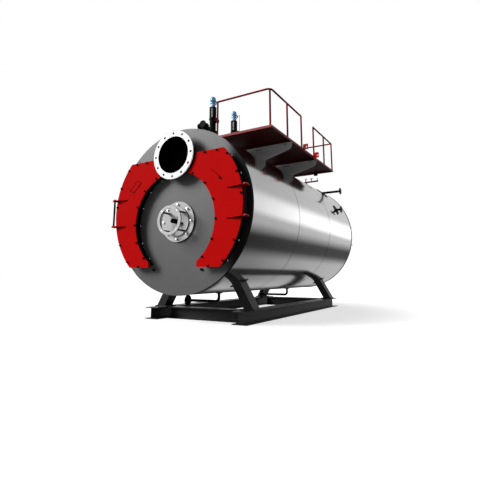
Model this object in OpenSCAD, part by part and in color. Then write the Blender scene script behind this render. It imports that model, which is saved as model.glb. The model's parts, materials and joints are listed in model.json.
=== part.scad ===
// Horizontal fire-tube steam boiler on a skid.
// Origin: on the floor, below the shell axis, half-way along the whole length.
// +X is right and +Y runs to the rear as the burner end is faced; +Z is up.
// Lengths along Y are drawn from the front plate's face and moved to the origin at the end.

/* [Shell] */
// Outer diameter of the lagged shell
shell_d = 3000; // [2600:10:3400]
// Length from the front plate's face to the rear plate's face
shell_l = 6040; // [5400:20:7000]
// Height of the shell axis above the floor
axis_h = 1985; // [1900:5:2300]
// Number of jacket courses is three; width of the groove between two of them
seam_w = 12; // [4:1:30]
// Depth of that groove
seam_d = 5; // [2:1:12]
// Lagging and sheet together
jacket_t = 110; // [60:5:160]
// Wall of the pressure shell
drum_t = 18; // [10:1:30]
// Thickness of the front and rear plates
end_t = 45; // [25:1:70]
// How far the end plates stand proud of the jacket all round
end_rim = 6; // [0:1:20]
// Length of the rear smoke box
rear_box_l = 120; // [80:5:200]
// Distance of the rear cover's edge inside the shell's outside
rear_edge = 120; // [80:5:200]
// Distance of the rear smoke box's wall inside the rear cover's edge
rear_lap = 30; // [10:1:60]

/* [Tubes] */
// Thickness of the tube plate
tube_plate_t = 25; // [16:1:40]
// Outer diameter of a fire tube
tube_d = 76; // [50:1:90]
// Wall of a fire tube
tube_t = 4; // [2:0.5:8]
// Distance between tube centres
tube_pitch = 118; // [100:1:150]
// How far a tube stands out of the tube plate
tube_stand = 6; // [0:1:12]
// First column of tubes from the middle plane
tube_x0 = 400; // [380:5:450]
// Least distance between a tube and the lining's outline
tube_edge = 12; // [5:1:30]

/* [Smoke box] */
// Distance of the doors' front face from the front plate
door_y = 166; // [130:1:260]
// Thickness of a door plate
door_t = 16; // [8:1:30]
// Distance of the doors' outer edge inside the shell's outside
door_edge = 80; // [60:1:160]
// Width of the doors' band, less the depth of the furnace axis at their top
door_band = 534; // [480:2:620]
// Depth of the furnace axis below the shell axis
furnace_drop = 219; // [150:1:260]
// Distance of the doors' top edge below the shell's crown
door_top_in = 549; // [500:1:650]
// Distance of the doors' bottom edge above the shell's underside
door_bottom_in = 477; // [400:1:550]
// Inner edge of a door's foot, from the middle plane
door_foot_x = 530; // [450:5:560]
// Edge of the door plate outside the smoke box wall
door_lap = 41; // [34:1:60]
// Thickness of the smoke box wall
box_t = 10; // [6:1:16]
// Distance of the front plate's openings inside that wall
plate_lap = 6; // [2:1:12]
// Gap between the door plate and the wall that it closes
seat_gap = 5; // [5:0.5:10]
// Thickness of the door's refractory lining
lining_t = 50; // [30:1:70]
// Gap between the lining and the smoke box wall
lining_gap = 12; // [8:1:20]

/* [Door hinges] */
// Distance of the hinge axis inside the shell's side
hinge_in = 30; // [10:1:32]
// Height of the upper door arm above the shell axis
arm_up = 265; // [200:5:400]
// Depth of the lower door arm below the shell axis
arm_down = 240; // [200:5:400]
// Thickness of a door arm
arm_t = 14; // [10:1:24]
// Length of an arm from the hinge axis inwards
arm_l = 350; // [250:10:420]
// How far an arm stands out of the door
arm_out = 60; // [40:1:90]
// Radius of the eyes round the hinge pin
eye_r = 44; // [34:1:44]
// Radius of the hinge pin
pin_r = 18; // [12:1:24]
// Radial clearance between a turning eye and its pin
pin_gap = 0.1; // [0.05:0.01:0.1]
// Thickness of a fixed hinge lug
lug_t = 12; // [8:1:20]
// Gap between an arm and its lug
lug_gap = 2; // [1:0.5:5]
// Width of a fixed lug at the front plate
lug_w = 60; // [40:2:80]
// Distance of a fixed lug's root inside the shell's side
lug_in = 45; // [30:1:60]
// Width of the closed hinge block of the rear cover
rear_block_w = 90; // [60:2:110]
// How far that block stands behind the rear cover
rear_block_out = 25; // [15:1:40]
// How far the rear arms sit below the door arms
rear_arm_drop = 35; // [0:5:60]

/* [Swing bolts] */
// Distance of the inner bolts outside the doors' inner edge
bolt_in_lap = 22; // [19:1:24]
// Angle between neighbouring inner bolts
bolt_in_step = 21.5; // [18:0.5:21.5]
// Distance of the outer bolts inside the doors' outer edge
bolt_out_lap = 25; // [22:1:27]
// Distance of the top bolts below the doors' top edge
bolt_top_lap = 26; // [22:1:28]
// Distance of the bottom bolts above the doors' bottom edge
bolt_foot_lap = 16; // [14:1:24]
// Angle between neighbouring outer bolts
bolt_out_step = 15.6; // [12:0.1:15.6]
// Radius of a bolt's shank
bolt_r = 9; // [6:0.5:12]
// Radius of the eye at a bolt's root
bolt_eye_r = 15; // [12:0.5:16]
// Half width of the slot in the door's edge
slot_r = 14; // [12:0.5:18]

/* [Flue outlet] */
// Distance of the flue axis below the shell's crown
flue_in = 527; // [500:1:600]
// Radius of the flue flange
flue_flange_r = 450; // [430:1:458]
// Bore radius of the flue outlet
flue_bore_r = 341; // [300:1:350]
// Wall of the flue neck
flue_wall = 10; // [6:1:16]
// Distance of the flange face from the front plate
flue_y = 216; // [205:1:300]
// Thickness of the flue flange
flue_flange_t = 24; // [16:1:30]
// Bolt circle diameter of the flue flange
flue_pcd = 800; // [760:1:840]
// Radius of a bolt hole in it
flue_hole_r = 15; // [9:0.5:15]
// Number of its bolt holes
flue_holes = 12; // [8:4:16]
// Radius of the cut that clears the flange in the doors
flue_cut_r = 475; // [470:1:490]

/* [Burner opening] */
// Radius of the burner plate on the front plate
burner_r = 363; // [330:1:380]
// Thickness of the burner plate
burner_t = 28; // [16:1:40]
// Thickness of the raised disc on the burner plate
burner_disc_t = 25; // [10:1:35]
// Outer radius of the front ring
ring_r = 261; // [240:1:280]
// Inner radius of the front ring
ring_in_r = 205; // [180:1:215]
// Thickness of the front ring
ring_t = 22; // [14:1:30]
// Distance of the ring's face from the front plate
ring_y = 268; // [220:1:320]
// Width of a bar between the ring and the disc
bar_w = 76; // [50:1:84]
// Thickness of such a bar
bar_t = 16; // [8:1:20]
// Middle of the bars from the middle plane
bar_x = 165; // [150:1:175]
// Height of the upper bars above the furnace axis
bar_up = 148; // [130:1:155]
// Depth of the lower bars below the furnace axis
bar_down = 172; // [140:1:175]
// Bolt circle diameter of the front ring
ring_pcd = 466; // [460:1:476]
// Radius of a bolt hole in the front ring
ring_hole_r = 9; // [6:0.5:11]
// Radius of the burner stub
stub_r = 42; // [30:1:60]
// Distance of the stub's end from the front plate
stub_y = 175; // [120:1:210]

/* [Platform] */
// Inner edge of the deck, from the middle plane
deck_x0 = 215; // [150:5:300]
// Distance of the deck's outer edge inside the shell's side
deck_in = 38; // [0:2:100]
// Front edge of the deck
deck_y0 = 836; // [700:2:1000]
// Rear edge of the deck
deck_y1 = 4602; // [4400:2:5000]
// Top of the deck above the shell's crown
deck_rise = 114; // [75:1:200]
// Thickness of the deck plate
deck_t = 6; // [4:1:10]
// Height of the channel round the deck's edge
edge_h = 46; // [36:1:60]
// Web and flange thickness of that channel
edge_t = 7; // [5:1:10]
// Flange width of that channel
edge_w = 40; // [25:1:60]
// Width of the deck's two cross bars
deck_bar_w = 50; // [40:2:80]
// How far a ladder lug stands out of the deck
lug_out = 110; // [90:2:140]
// Height of a ladder lug
lug_h = 92; // [80:2:110]
// Thickness of a ladder lug
lug_plate_t = 12; // [8:1:20]
// Radius of the hole in a ladder lug
lug_hole_r = 14; // [8:0.5:16]
// Distance of a ladder lug from the gap in the handrail
lug_back = 40; // [20:2:60]
// Height of a handrail above the deck
rail_h = 740; // [650:5:1100]
// Radius of the handrail tube
rail_r = 19; // [14:0.5:24]
// Bend radius of the handrail at the front corner
rail_bend = 90; // [60:5:140]
// Distance of the handrail tubes inside the deck's edges
rail_in = 2; // [0:1:10]
// Start of the ladder gap in the outer rail
gap_y0 = 2406; // [2300:2:2600]
// End of the ladder gap in the outer rail
gap_y1 = 3180; // [3000:2:3400]
// Place of the front bracket
bracket_y0 = 1793; // [1700:1:1900]
// Place of the rear bracket
bracket_y1 = 3273; // [3200:1:3400]
// Thickness of a bracket plate
bracket_t = 14; // [8:1:24]
// Inner edge of a bracket, from the middle plane
bracket_x0 = 396; // [360:2:480]
// Height of a bracket's outer end to the corner of its nose
bracket_nose = 140; // [120:1:160]
// Radius of that nose
bracket_nose_r = 100; // [60:2:120]
// Place of a bracket's foot as a share of the shell's radius
bracket_foot = 0.585; // [0.5:0.005:0.65]
// Height of the straight lower edge above the shell at that place
bracket_rise = 55; // [45:1:70]
// Radius of the hollow at a bracket's foot
bracket_hook_r = 50; // [30:1:60]

/* [Legs and base] */
// Distance of the base beams' middle inside the legs' middle at the foot
beam_in = 21; // [0:1:60]
// Height of a base beam
beam_h = 220; // [180:1:260]
// Flange width of a base beam
beam_w = 300; // [200:2:320]
// Flange thickness of a base beam
beam_tf = 15; // [10:1:22]
// Web thickness of a base beam
beam_tw = 12; // [8:1:20]
// How far the base starts behind the front plate's face
base_y0 = 450; // [300:5:600]
// How far the base ends ahead of the rear plate's face
base_y1 = 480; // [300:5:600]
// Centre of a leg from the nearer end of the shell
leg_y = 870; // [800:5:1100]
// Depth of a leg along the shell
leg_l = 250; // [180:2:300]
// Width of a leg round the shell
leg_w = 166; // [120:2:200]
// Plate thickness of a leg
leg_t = 14; // [8:1:25]
// Angle of the legs below the horizontal
leg_a = 60; // [57:0.5:62]
// Thickness of the pad between a leg and the shell
pad_t = 10; // [6:1:16]
// How far that pad reaches past the leg
pad_lap = 55; // [20:1:80]
// Thickness of the foot plate
foot_t = 20; // [12:1:30]

/* [Valves] */
// Place of the front safety valve
safety_y0 = 1030; // [980:5:1200]
// Place of the rear safety valve
safety_y1 = 1892; // [1600:5:2200]
// Place of the steam outlet valve
steam_y = 790; // [760:2:830]
// Height of the valve nozzles' top above the shell's crown
nozzle_rise = 298; // [240:1:350]
// Outer radius of a valve nozzle
nozzle_r = 44; // [38:1:50]
// Bore radius of a valve nozzle
nozzle_bore_r = 36; // [25:1:37]
// Flange radius of a valve nozzle
nozzle_flange_r = 92; // [80:1:100]
// Flange thickness of the valves and nozzles
valve_flange_t = 20; // [14:1:26]
// Radius of a safety valve's lower body
body_r = 68; // [60:1:72]
// Radius of a safety valve's bonnet
bonnet_r = 74; // [66:1:80]
// Height of a safety valve's outlet above its flange
outlet_up = 238; // [200:1:250]
// Distance of a safety valve's outlet face from the middle plane
outlet_x = 122; // [110:1:140]
// Bore radius of the valve outlets
outlet_bore_r = 28; // [20:1:32]
// Height of a safety valve's bonnet above its flange
bonnet_up = 297; // [280:1:320]
// Height of that bonnet
bonnet_h = 254; // [220:1:280]
// Radius of a safety valve's cap
cap_r = 60; // [50:1:66]
// Height of the steam valve's spindle above its flange
steam_z = 62; // [60:1:80]
// Distance of the steam valve's outlet face from the middle plane
steam_out = 168; // [150:1:200]
// Rim radius of the steam valve's handwheel
wheel_r = 80; // [60:1:100]
// Distance of the handwheel ahead of the steam valve's axis
wheel_out = 120; // [110:1:140]
// Thickness of the handwheel's rim
wheel_t = 18; // [12:1:22]

/* [Side nozzles] */
// Distance of the level nozzles from the rear plate's face
level_back = 1020; // [900:10:1300]
// Height of the upper level nozzle above the axis as a share of the shell's radius
level_up_share = 0.745; // [0.7:0.005:0.77]
// Height of the lower level nozzle above the axis as a share of the shell's radius
level_low_share = 0.407; // [0.3:0.001:0.43]
// Distance of the nozzle faces outside the shell's side
level_out = 20; // [10:1:200]
// Outer radius of a level nozzle
level_r = 30; // [24:0.5:36]
// Bore radius of a level nozzle
level_bore_r = 25; // [15:0.5:26]
// Flange radius of a level nozzle
level_flange_r = 90; // [75:1:100]
// Radius of the pad round a level nozzle
level_pad_r = 130; // [100:1:150]
// Distance of the blow-down pipes from each end of the shell
drain_y = 1330; // [1200:5:1500]
// Depth of the blow-down pipes below the shell's underside
drain_drop = 170; // [140:1:200]
// Outer radius of a blow-down pipe
drain_r = 29; // [22:0.5:36]
// Bore radius of a blow-down pipe
drain_bore_r = 24; // [15:0.5:26]
// Gap between a blow-down flange's face and the edge of the base beam beside it
drain_gap = 46; // [20:1:200]
// Bend radius of a blow-down pipe
drain_bend = 75; // [60:1:90]
// Flange radius of a blow-down pipe
drain_flange_r = 110; // [80:1:112]
// Distance of the gauge rack from the rear plate's face
rack_back = 640; // [600:5:700]
// Start of the gauge rack's bar from the middle plane
rack_x0 = 344; // [300:2:400]
// Length of that bar
rack_l = 417; // [360:1:450]
// Height of that bar above the shell's crown
rack_rise = 66; // [50:1:80]

/* [Hidden] */
$fn = 96;
// Facets of the large circles
fine = 360;

steel_grey = [0.43, 0.44, 0.45];
dark_grey = [0.17, 0.17, 0.18];
black = [0.05, 0.05, 0.05];
red = [0.68, 0.05, 0.05];
dark_red = [0.45, 0.08, 0.08];
light_grey = [0.78, 0.78, 0.78];
blue = [0.16, 0.45, 0.70];

// Clearance of a piece that is seated on another one
seat = 0.3;
shell_r = shell_d / 2;
drum_r = shell_r - jacket_t - seat;
drum_in_r = drum_r - drum_t;
course_l = (shell_l - 2 * end_t) / 3;
furnace_z = -furnace_drop;
door_r = shell_r - door_edge;
door_in_r = door_r - door_band;
door_top = shell_r - door_top_in;
door_bottom = shell_r - door_bottom_in;
hinge_x = shell_r - hinge_in;
bolt_in_r = door_in_r + bolt_in_lap;
bolt_out_r = door_r - bolt_out_lap;
flue_up = shell_r - flue_in;
deck_x1 = shell_r - deck_in;
deck_up = shell_r + deck_rise;
nozzle_up = shell_r + nozzle_rise;
level_x = shell_r + level_out;
drain_down = shell_r + drain_drop;
door_back = door_y - door_t;
box_y = door_back - seat_gap;
cover_t = 12;
cover_gap = 15;
lining_inset = door_lap + box_t + lining_gap;
opening_inset = door_lap + box_t + plate_lap;
neck_r = flue_bore_r + flue_wall;
beam_top = beam_h - axis_h;
foot_top = beam_top + foot_t;
rail_z = deck_up + rail_h;
under_deck = deck_up - edge_h;
rear_cover_r = shell_r - rear_edge;
// Half distance between the base beams
beam_x = -foot_top / tan(leg_a) - beam_in;
// Distance of a blow-down flange's face from the middle plane, in whole millimetres
drain_x = floor(beam_x - beam_w / 2) - drain_gap;
// Middle of the whole length, from the front plate's face
mid_y = (shell_l + rear_box_l + door_t + arm_out - ring_y) / 2;

// Moves a piece from the front plate's face to the origin
module placed() { translate([0, -mid_y, 0]) children(); }

// A plate that stands across the shell: its outline in X and Z about the shell axis, its front
// face at front_y and its thickness to the rear
module across(front_y, thick) {
    translate([0, front_y + thick, axis_h]) rotate([90, 0, 0]) linear_extrude(thick) children();
}

// A round bar or disc along Y whose front face is at front_y
module along_y(x, z, r, front_y, length) {
    translate([x, front_y + length, axis_h + z]) rotate([90, 0, 0]) cylinder(r = r, h = length);
}

// A round bar along X
module along_x(x0, x1, y, z, r) {
    translate([x0, y, axis_h + z]) rotate([0, 90, 0]) cylinder(r = r, h = x1 - x0);
}

// A round bar along Z, its heights about the shell axis
module upright(x, y, z0, z1, r) {
    translate([x, y, axis_h + z0]) cylinder(r = r, h = z1 - z0);
}

// The space that the shell fills, grown by the seat clearance
module shell_space(extra = 0) {
    along_y(0, 0, shell_r + seat + extra, 0, shell_l, $fn = fine);
}

// One lagged jacket course with half a seam groove at each inner end
module jacket_course(index) {
    y0 = end_t + index * course_l;
    front_step = index == 0 ? 0 : seam_w / 2;
    rear_step = index == 2 ? 0 : seam_w / 2;
    color(steel_grey) difference() {
        union() {
            along_y(0, 0, shell_r - seam_d, y0, course_l, $fn = fine);
            along_y(0, 0, shell_r, y0 + front_step, course_l - front_step - rear_step, $fn = fine);
        }
        along_y(0, 0, shell_r - jacket_t, y0 - 1, course_l + 2, $fn = fine);
    }
}

module jacket_front() { jacket_course(0); }
module jacket_middle() { jacket_course(1); }
module jacket_rear() { jacket_course(2); }

module pressure_shell() {
    color(steel_grey) difference() {
        along_y(0, 0, drum_r, end_t, shell_l - 2 * end_t, $fn = fine);
        along_y(0, 0, drum_in_r, end_t - 1, shell_l - 2 * end_t + 2, $fn = fine);
    }
}

// Half outline of the C-shaped smoke box, drawn inwards by inset from the door's edge
module smoke_half(inset) {
    difference() {
        intersection() {
            circle(r = door_r - inset, $fn = fine);
            translate([0, inset - door_bottom]) square([door_r, door_bottom + door_top - 2 * inset]);
        }
        translate([0, furnace_z]) circle(r = door_in_r + inset, $fn = fine);
        translate([-1, -2 * door_bottom])
            square([door_foot_x + inset + 1, 2 * door_bottom + furnace_z]);
    }
}

// Outline of one door, cut round the flue flange
module door_outline(inset) {
    difference() {
        smoke_half(inset);
        translate([0, flue_up]) circle(r = flue_cut_r + inset, $fn = fine);
    }
}

// Places of the swing bolts on the right half, as [x, z] about the shell axis
bolt_places = concat(
    [for (k = [-3 : 2]) [bolt_in_r * cos(20 + k * bolt_in_step),
                         furnace_z + bolt_in_r * sin(20 + k * bolt_in_step)]],
    [for (k = [-3, -2, 0, 1, 2]) [bolt_out_r * cos(5.5 + k * bolt_out_step),
                                  bolt_out_r * sin(5.5 + k * bolt_out_step)]],
    [[0.468 * door_r, door_top - bolt_top_lap], [0.645 * door_r, door_top - bolt_top_lap],
     [0.541 * door_r, bolt_foot_lap - door_bottom]]
);

// Fire tube places on one side: a block of staggered rows inside the smoke box outline
tube_inset = lining_inset + tube_d / 2 + tube_edge;
tube_step = tube_pitch * sin(60);
tube_rows = ceil(shell_r / tube_pitch);
tube_columns = ceil((shell_r - tube_x0) / tube_step);
tube_places = [
    for (row = [-tube_rows : tube_rows]) for (column = [0 : tube_columns])
        let (x = tube_x0 + column * tube_step, z = (row + (column % 2) / 2) * tube_pitch)
        if (x * x + z * z < pow(door_r - tube_inset, 2)
            && x * x + pow(z - furnace_z, 2) > pow(door_in_r + tube_inset, 2)
            && z < door_top - tube_inset && z > tube_inset - door_bottom
            && x * x + pow(z - flue_up, 2) > pow(flue_cut_r + tube_inset, 2)) [x, z]
];

// The front plate inside its rim, with the openings into the smoke boxes
module front_plate() {
    color(dark_grey) difference() {
        along_y(0, 0, door_r - opening_inset - seat, 0, end_t, $fn = fine);
        for (side = [0, 1]) mirror([side, 0, 0]) across(-1, end_t + 2)
            door_outline(opening_inset);
    }
}

// The front plate's rim, outside those openings
module front_plate_rim() {
    color(dark_grey) difference() {
        along_y(0, 0, shell_r + end_rim, 0, end_t, $fn = fine);
        along_y(0, 0, door_r - opening_inset, -1, end_t + 2, $fn = fine);
    }
}

module tube_plate() {
    color(dark_grey) difference() {
        along_y(0, 0, drum_in_r - seat, end_t, tube_plate_t, $fn = fine);
        for (side = [0, 1]) mirror([side, 0, 0]) for (p = tube_places)
            along_y(p[0], p[1], tube_d / 2 + seat, end_t - 1, tube_plate_t + 2, $fn = 32);
    }
}

// The fire tubes from the front tube plate to the rear plate
module fire_tubes() {
    rear_gap = 1;
    tube_l = shell_l - 2 * end_t + tube_stand - rear_gap;
    color(steel_grey) for (side = [0, 1]) mirror([side, 0, 0]) for (p = tube_places) difference() {
        along_y(p[0], p[1], tube_d / 2, end_t - tube_stand, tube_l, $fn = 32);
        along_y(p[0], p[1], tube_d / 2 - tube_t, end_t - tube_stand - 1, tube_l + 2, $fn = 32);
    }
}

module rear_plate() {
    color(dark_grey) along_y(0, 0, shell_r + end_rim, shell_l - end_t, end_t, $fn = fine);
}

// Rear smoke box with its round cover, closed and bolted, and two hinge arms at its right side
module rear_cover() {
    block_x = hinge_x - eye_r - rear_block_out;
    block_y = rear_block_out - rear_block_w;
    color(dark_grey) along_y(0, 0, rear_cover_r - rear_lap, shell_l, rear_box_l, $fn = fine);
    color(red) {
        along_y(0, 0, rear_cover_r, shell_l + rear_box_l, door_t, $fn = fine);
        for (z = [arm_up, -arm_down])
            translate([0, shell_l + rear_box_l + door_t, axis_h + z - rear_arm_drop])
                linear_extrude(arm_t, center = true)
                    polygon([[block_x - arm_l, -2], [block_x - eye_r, arm_out],
                             [block_x + eye_r + rear_block_out, rear_block_out],
                             [block_x + eye_r + rear_block_out, block_y],
                             [block_x, block_y], [block_x, -door_t], [block_x - arm_l, -door_t]]);
    }
}

// The walls of the smoke box: one side of the C with half of the wall round the flue neck
module smoke_box_half() {
    across(-box_y, box_y) difference() {
        union() {
            smoke_half(door_lap);
            intersection() {
                translate([0, flue_up]) circle(r = neck_r, $fn = fine);
                square([neck_r, flue_up + neck_r]);
            }
        }
        smoke_half(door_lap + box_t);
        translate([0, flue_up]) circle(r = flue_bore_r, $fn = fine);
        translate([-1, -door_bottom]) square([1, 4 * door_bottom]);
    }
}

module smoke_box_right() { color(black) smoke_box_half(); }
module smoke_box_left() { color(black) mirror([1, 0, 0]) smoke_box_half(); }

// The fixed front of the smoke box between the two doors
module smoke_box_cover() {
    color(black) across(-box_y - cover_t, cover_t) difference() {
        intersection() {
            union() {
                smoke_half(door_lap);
                mirror([1, 0, 0]) smoke_half(door_lap);
            }
            translate([0, flue_up]) circle(r = flue_cut_r - cover_gap, $fn = fine);
        }
        translate([0, flue_up]) circle(r = flue_bore_r, $fn = fine);
    }
}

module flue_neck() {
    neck_front = flue_y - flue_flange_t;
    neck_back = box_y + cover_t;
    color(black) difference() {
        along_y(0, flue_up, neck_r, -neck_front, neck_front - neck_back);
        along_y(0, flue_up, flue_bore_r, -neck_front - 1, neck_front - neck_back + 2);
    }
}

module flue_flange() {
    color("white") difference() {
        along_y(0, flue_up, flue_flange_r, -flue_y, flue_flange_t);
        along_y(0, flue_up, flue_bore_r, -flue_y - 1, flue_flange_t + 2);
        for (k = [0 : flue_holes - 1])
            along_y(flue_pcd / 2 * cos(k * 360 / flue_holes),
                    flue_up + flue_pcd / 2 * sin(k * 360 / flue_holes),
                    flue_hole_r, -flue_y - 1, flue_flange_t + 2, $fn = 24);
    }
}

// Plan outline of a door arm, for the right door, let into the door's face by a weld's depth
module arm_plan() {
    weld = 4;
    inside = 3;
    nose_x = 75;
    difference() {
        union() {
            polygon([[hinge_x - arm_l, weld - door_y], [hinge_x - arm_l, -door_y],
                     [hinge_x - nose_x, -door_y - arm_out],
                     [hinge_x - inside, inside - door_y - eye_r],
                     [hinge_x, -door_y], [hinge_x - eye_r / 2, weld - door_y]]);
            translate([hinge_x, -door_y]) circle(r = eye_r);
        }
        translate([hinge_x, -door_y]) circle(r = pin_r + pin_gap);
    }
}

module door_arm(z) {
    translate([0, 0, axis_h + z - arm_t / 2]) linear_extrude(arm_t) arm_plan();
}

module door_plate() {
    across(-door_y, door_t) difference() {
        door_outline(0);
        for (p = bolt_places) bolt_slot(p);
    }
}

// A bolt slot, from just inside the bolt out past the door's edge
module bolt_slot(p) {
    reach = 40;
    from_furnace = norm([p[0], p[1] - furnace_z]);
    turn = abs(from_furnace - bolt_in_r) < 1 ? atan2(furnace_z - p[1], -p[0])
         : abs(norm(p) - bolt_out_r) < 1 ? atan2(p[1], p[0])
         : p[1] > 0 ? 90 : -90;
    translate(p) rotate(turn) translate([-slot_r, -slot_r]) square([reach, 2 * slot_r]);
}

module right_door_body() {
    door_plate();
    door_arm(arm_up);
    door_arm(-arm_down);
}

module right_lining() {
    across(-door_back + seat, lining_t) door_outline(lining_inset);
}

module right_door() { color(red) right_door_body(); }
module left_door() { color(red) mirror([1, 0, 0]) right_door_body(); }
module right_door_lining() { color(light_grey) right_lining(); }
module left_door_lining() { color(light_grey) mirror([1, 0, 0]) right_lining(); }

// A fixed lug from the front plate to the hinge pin, above each arm
module hinge_lugs() {
    nose_r = eye_r - 6;
    root_x = shell_r - lug_in;
    color(red) for (side = [0, 1]) mirror([side, 0, 0]) for (z = [arm_up, -arm_down])
        translate([0, 0, axis_h + z + arm_t / 2 + lug_gap]) linear_extrude(lug_t) difference() {
            union() {
                translate([hinge_x, -door_y]) circle(r = nose_r);
                polygon([[hinge_x - nose_r, -door_y], [hinge_x + nose_r, -door_y],
                         [root_x, 0], [root_x - lug_w, 0]]);
            }
            translate([hinge_x, -door_y]) circle(r = pin_r + seat);
        }
}

// A pin through the arms and lugs of each side, its head on the upper lug
module hinge_pins() {
    end_out = 12;
    head_lap = 8;
    top = arm_up + arm_t / 2 + lug_gap + lug_t;
    bottom = -arm_down - arm_t / 2 - end_out;
    color(dark_red) for (side = [-1, 1]) {
        upright(side * hinge_x, -door_y, bottom, top + end_out / 2, pin_r);
        upright(side * hinge_x, -door_y, top + seat, top + end_out, pin_r + head_lap);
    }
}

// Eye and shank of each swing bolt beside the smoke box wall
module swing_bolts() {
    color(light_grey) for (side = [0, 1]) mirror([side, 0, 0]) for (p = bolt_places) {
        translate([p[0], -bolt_eye_r - seat, axis_h + p[1]]) sphere(r = bolt_eye_r, $fn = 32);
        along_y(p[0], p[1], bolt_r, -box_y, box_y - bolt_eye_r, $fn = 24);
    }
}

module burner_plate() {
    color(light_grey) {
        along_y(0, furnace_z, burner_r, -burner_t, burner_t);
        along_y(0, furnace_z, ring_r, -burner_t - burner_disc_t, burner_disc_t + 1);
    }
}

// The front ring with its four bolt holes
module burner_cage() {
    color(light_grey) difference() {
        along_y(0, furnace_z, ring_r, -ring_y, ring_t);
        along_y(0, furnace_z, ring_in_r, -ring_y - 1, ring_t + 2);
        for (a = [45 : 90 : 315])
            along_y(ring_pcd / 2 * cos(a), furnace_z + ring_pcd / 2 * sin(a),
                    ring_hole_r, -ring_y - 1, ring_t + 2, $fn = 24);
    }
}

// The four flat bars that carry the front ring
module burner_bars() {
    color(black) for (x = [-bar_x, bar_x]) for (z = [bar_up, -bar_down])
        across(ring_t - ring_y, ring_y - ring_t - burner_t - burner_disc_t)
            translate([x, furnace_z + z]) square([bar_w, bar_t], center = true);
}

module burner_stub() {
    bore_depth = 30;
    wall = 12;
    color(black) difference() {
        along_y(0, furnace_z, stub_r, -stub_y, stub_y - burner_t - burner_disc_t);
        along_y(0, furnace_z, stub_r - wall, -stub_y - 1, bore_depth + 1);
    }
}

// A short flanged nozzle on the shell's crown
module crown_nozzle(y) {
    pad_w = 45;
    pad_h = 12;
    root = shell_r - 60;
    difference() {
        union() {
            upright(0, y, root, nozzle_up, nozzle_r);
            upright(0, y, nozzle_up - valve_flange_t, nozzle_up, nozzle_flange_r);
            upright(0, y, root, shell_r + pad_h, nozzle_r + pad_w);
        }
        upright(0, y, root - 1, nozzle_up + 1, nozzle_bore_r);
        shell_space();
    }
}

module valve_nozzles() {
    color(black) for (y = [steam_y, safety_y0, safety_y1]) crown_nozzle(y);
}

// Body, bonnet and side outlet of a safety valve
module safety_body(y) {
    neck_h = 20;
    neck_lap = 8;
    outlet_wall = 12;
    outlet_flange_w = 34;
    outlet_z = nozzle_up + outlet_up;
    bonnet_z = nozzle_up + bonnet_up;
    color(black) difference() {
        union() {
            upright(0, y, nozzle_up, nozzle_up + valve_flange_t, nozzle_flange_r);
            upright(0, y, nozzle_up, bonnet_z, body_r);
            upright(0, y, bonnet_z - neck_h, bonnet_z, bonnet_r + neck_lap);
            upright(0, y, bonnet_z, bonnet_z + bonnet_h, bonnet_r);
            along_x(0, outlet_x, y, outlet_z, outlet_bore_r + outlet_wall);
            along_x(outlet_x - valve_flange_t, outlet_x, y, outlet_z,
                    outlet_bore_r + outlet_flange_w);
        }
        upright(0, y, nozzle_up - 1, outlet_z, outlet_bore_r);
        along_x(0, outlet_x + 1, y, outlet_z, outlet_bore_r);
    }
}

// Yoke, lever and domed cap of a safety valve
module safety_head(y) {
    base = nozzle_up + bonnet_up + bonnet_h;
    foot_h = 22;
    ring_z = base + 92;
    ring_h = 20;
    cap_z = base + 150;
    cap_h = 38;
    lever_r = 9;
    lever_back = 10;
    lever_out = 50;
    color(blue) {
        upright(0, y, base, base + foot_h, 0.83 * cap_r);
        upright(0, y, base, ring_z, 0.63 * cap_r);
        upright(0, y, ring_z, ring_z + ring_h, 0.93 * cap_r);
        upright(0, y, ring_z, cap_z, cap_r / 3);
        upright(0, y, cap_z, cap_z + cap_h, cap_r);
        translate([0, y, axis_h + cap_z + cap_h]) intersection() {
            sphere(r = cap_r);
            cylinder(r = cap_r + 1, h = cap_r + 1);
        }
        along_x(-cap_r - lever_back, cap_r + lever_out, y, ring_z + ring_h / 2, lever_r);
    }
}

module front_safety_valve() { safety_body(safety_y0); }
module front_safety_head() { safety_head(safety_y0); }
module rear_safety_valve() { safety_body(safety_y1); }
module rear_safety_head() { safety_head(safety_y1); }

// Radius of the steam valve's spindle
spindle_r = 9;

// Steam outlet valve: a globe body with its bonnet to the front
module steam_valve() {
    z = nozzle_up + steam_z;
    globe_r = steam_z;
    bonnet_end = globe_r + 30;
    neck_wall = 12;
    outlet_wall = 10;
    outlet_flange_w = 48;
    color(black) difference() {
        union() {
            upright(0, steam_y, nozzle_up, nozzle_up + valve_flange_t, nozzle_flange_r);
            upright(0, steam_y, nozzle_up, z + globe_r / 3, outlet_bore_r + neck_wall);
            translate([0, steam_y, axis_h + z]) sphere(r = globe_r);
            along_y(0, z, 0.55 * globe_r, steam_y - bonnet_end, bonnet_end);
            along_x(-steam_out, 0, steam_y, z, outlet_bore_r + outlet_wall);
            along_x(-steam_out, valve_flange_t - steam_out, steam_y, z,
                    outlet_bore_r + outlet_flange_w);
        }
        along_y(0, z, spindle_r + pin_gap, steam_y - bonnet_end - 1, globe_r);
        along_x(-steam_out - 1, 2 - globe_r, steam_y, z, outlet_bore_r);
    }
}

// Handwheel and spindle of the steam valve
module steam_valve_wheel() {
    z = nozzle_up + steam_z;
    rim_y = steam_y - wheel_out;
    spoke_w = wheel_t / 2;
    color(dark_grey) {
        along_y(0, z, spindle_r, rim_y - wheel_t / 2, wheel_out - steam_z / 2);
        along_y(0, z, 3 * spindle_r, rim_y - wheel_t / 2, wheel_t);
        translate([0, rim_y, axis_h + z]) rotate([90, 0, 0])
            rotate_extrude() translate([wheel_r - wheel_t / 2, 0]) circle(r = wheel_t / 2, $fn = 24);
        for (a = [0, 60, 120]) translate([0, rim_y, axis_h + z]) rotate([0, a, 0])
            cube([2 * wheel_r - wheel_t, spoke_w, spoke_w], center = true);
    }
}

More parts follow.
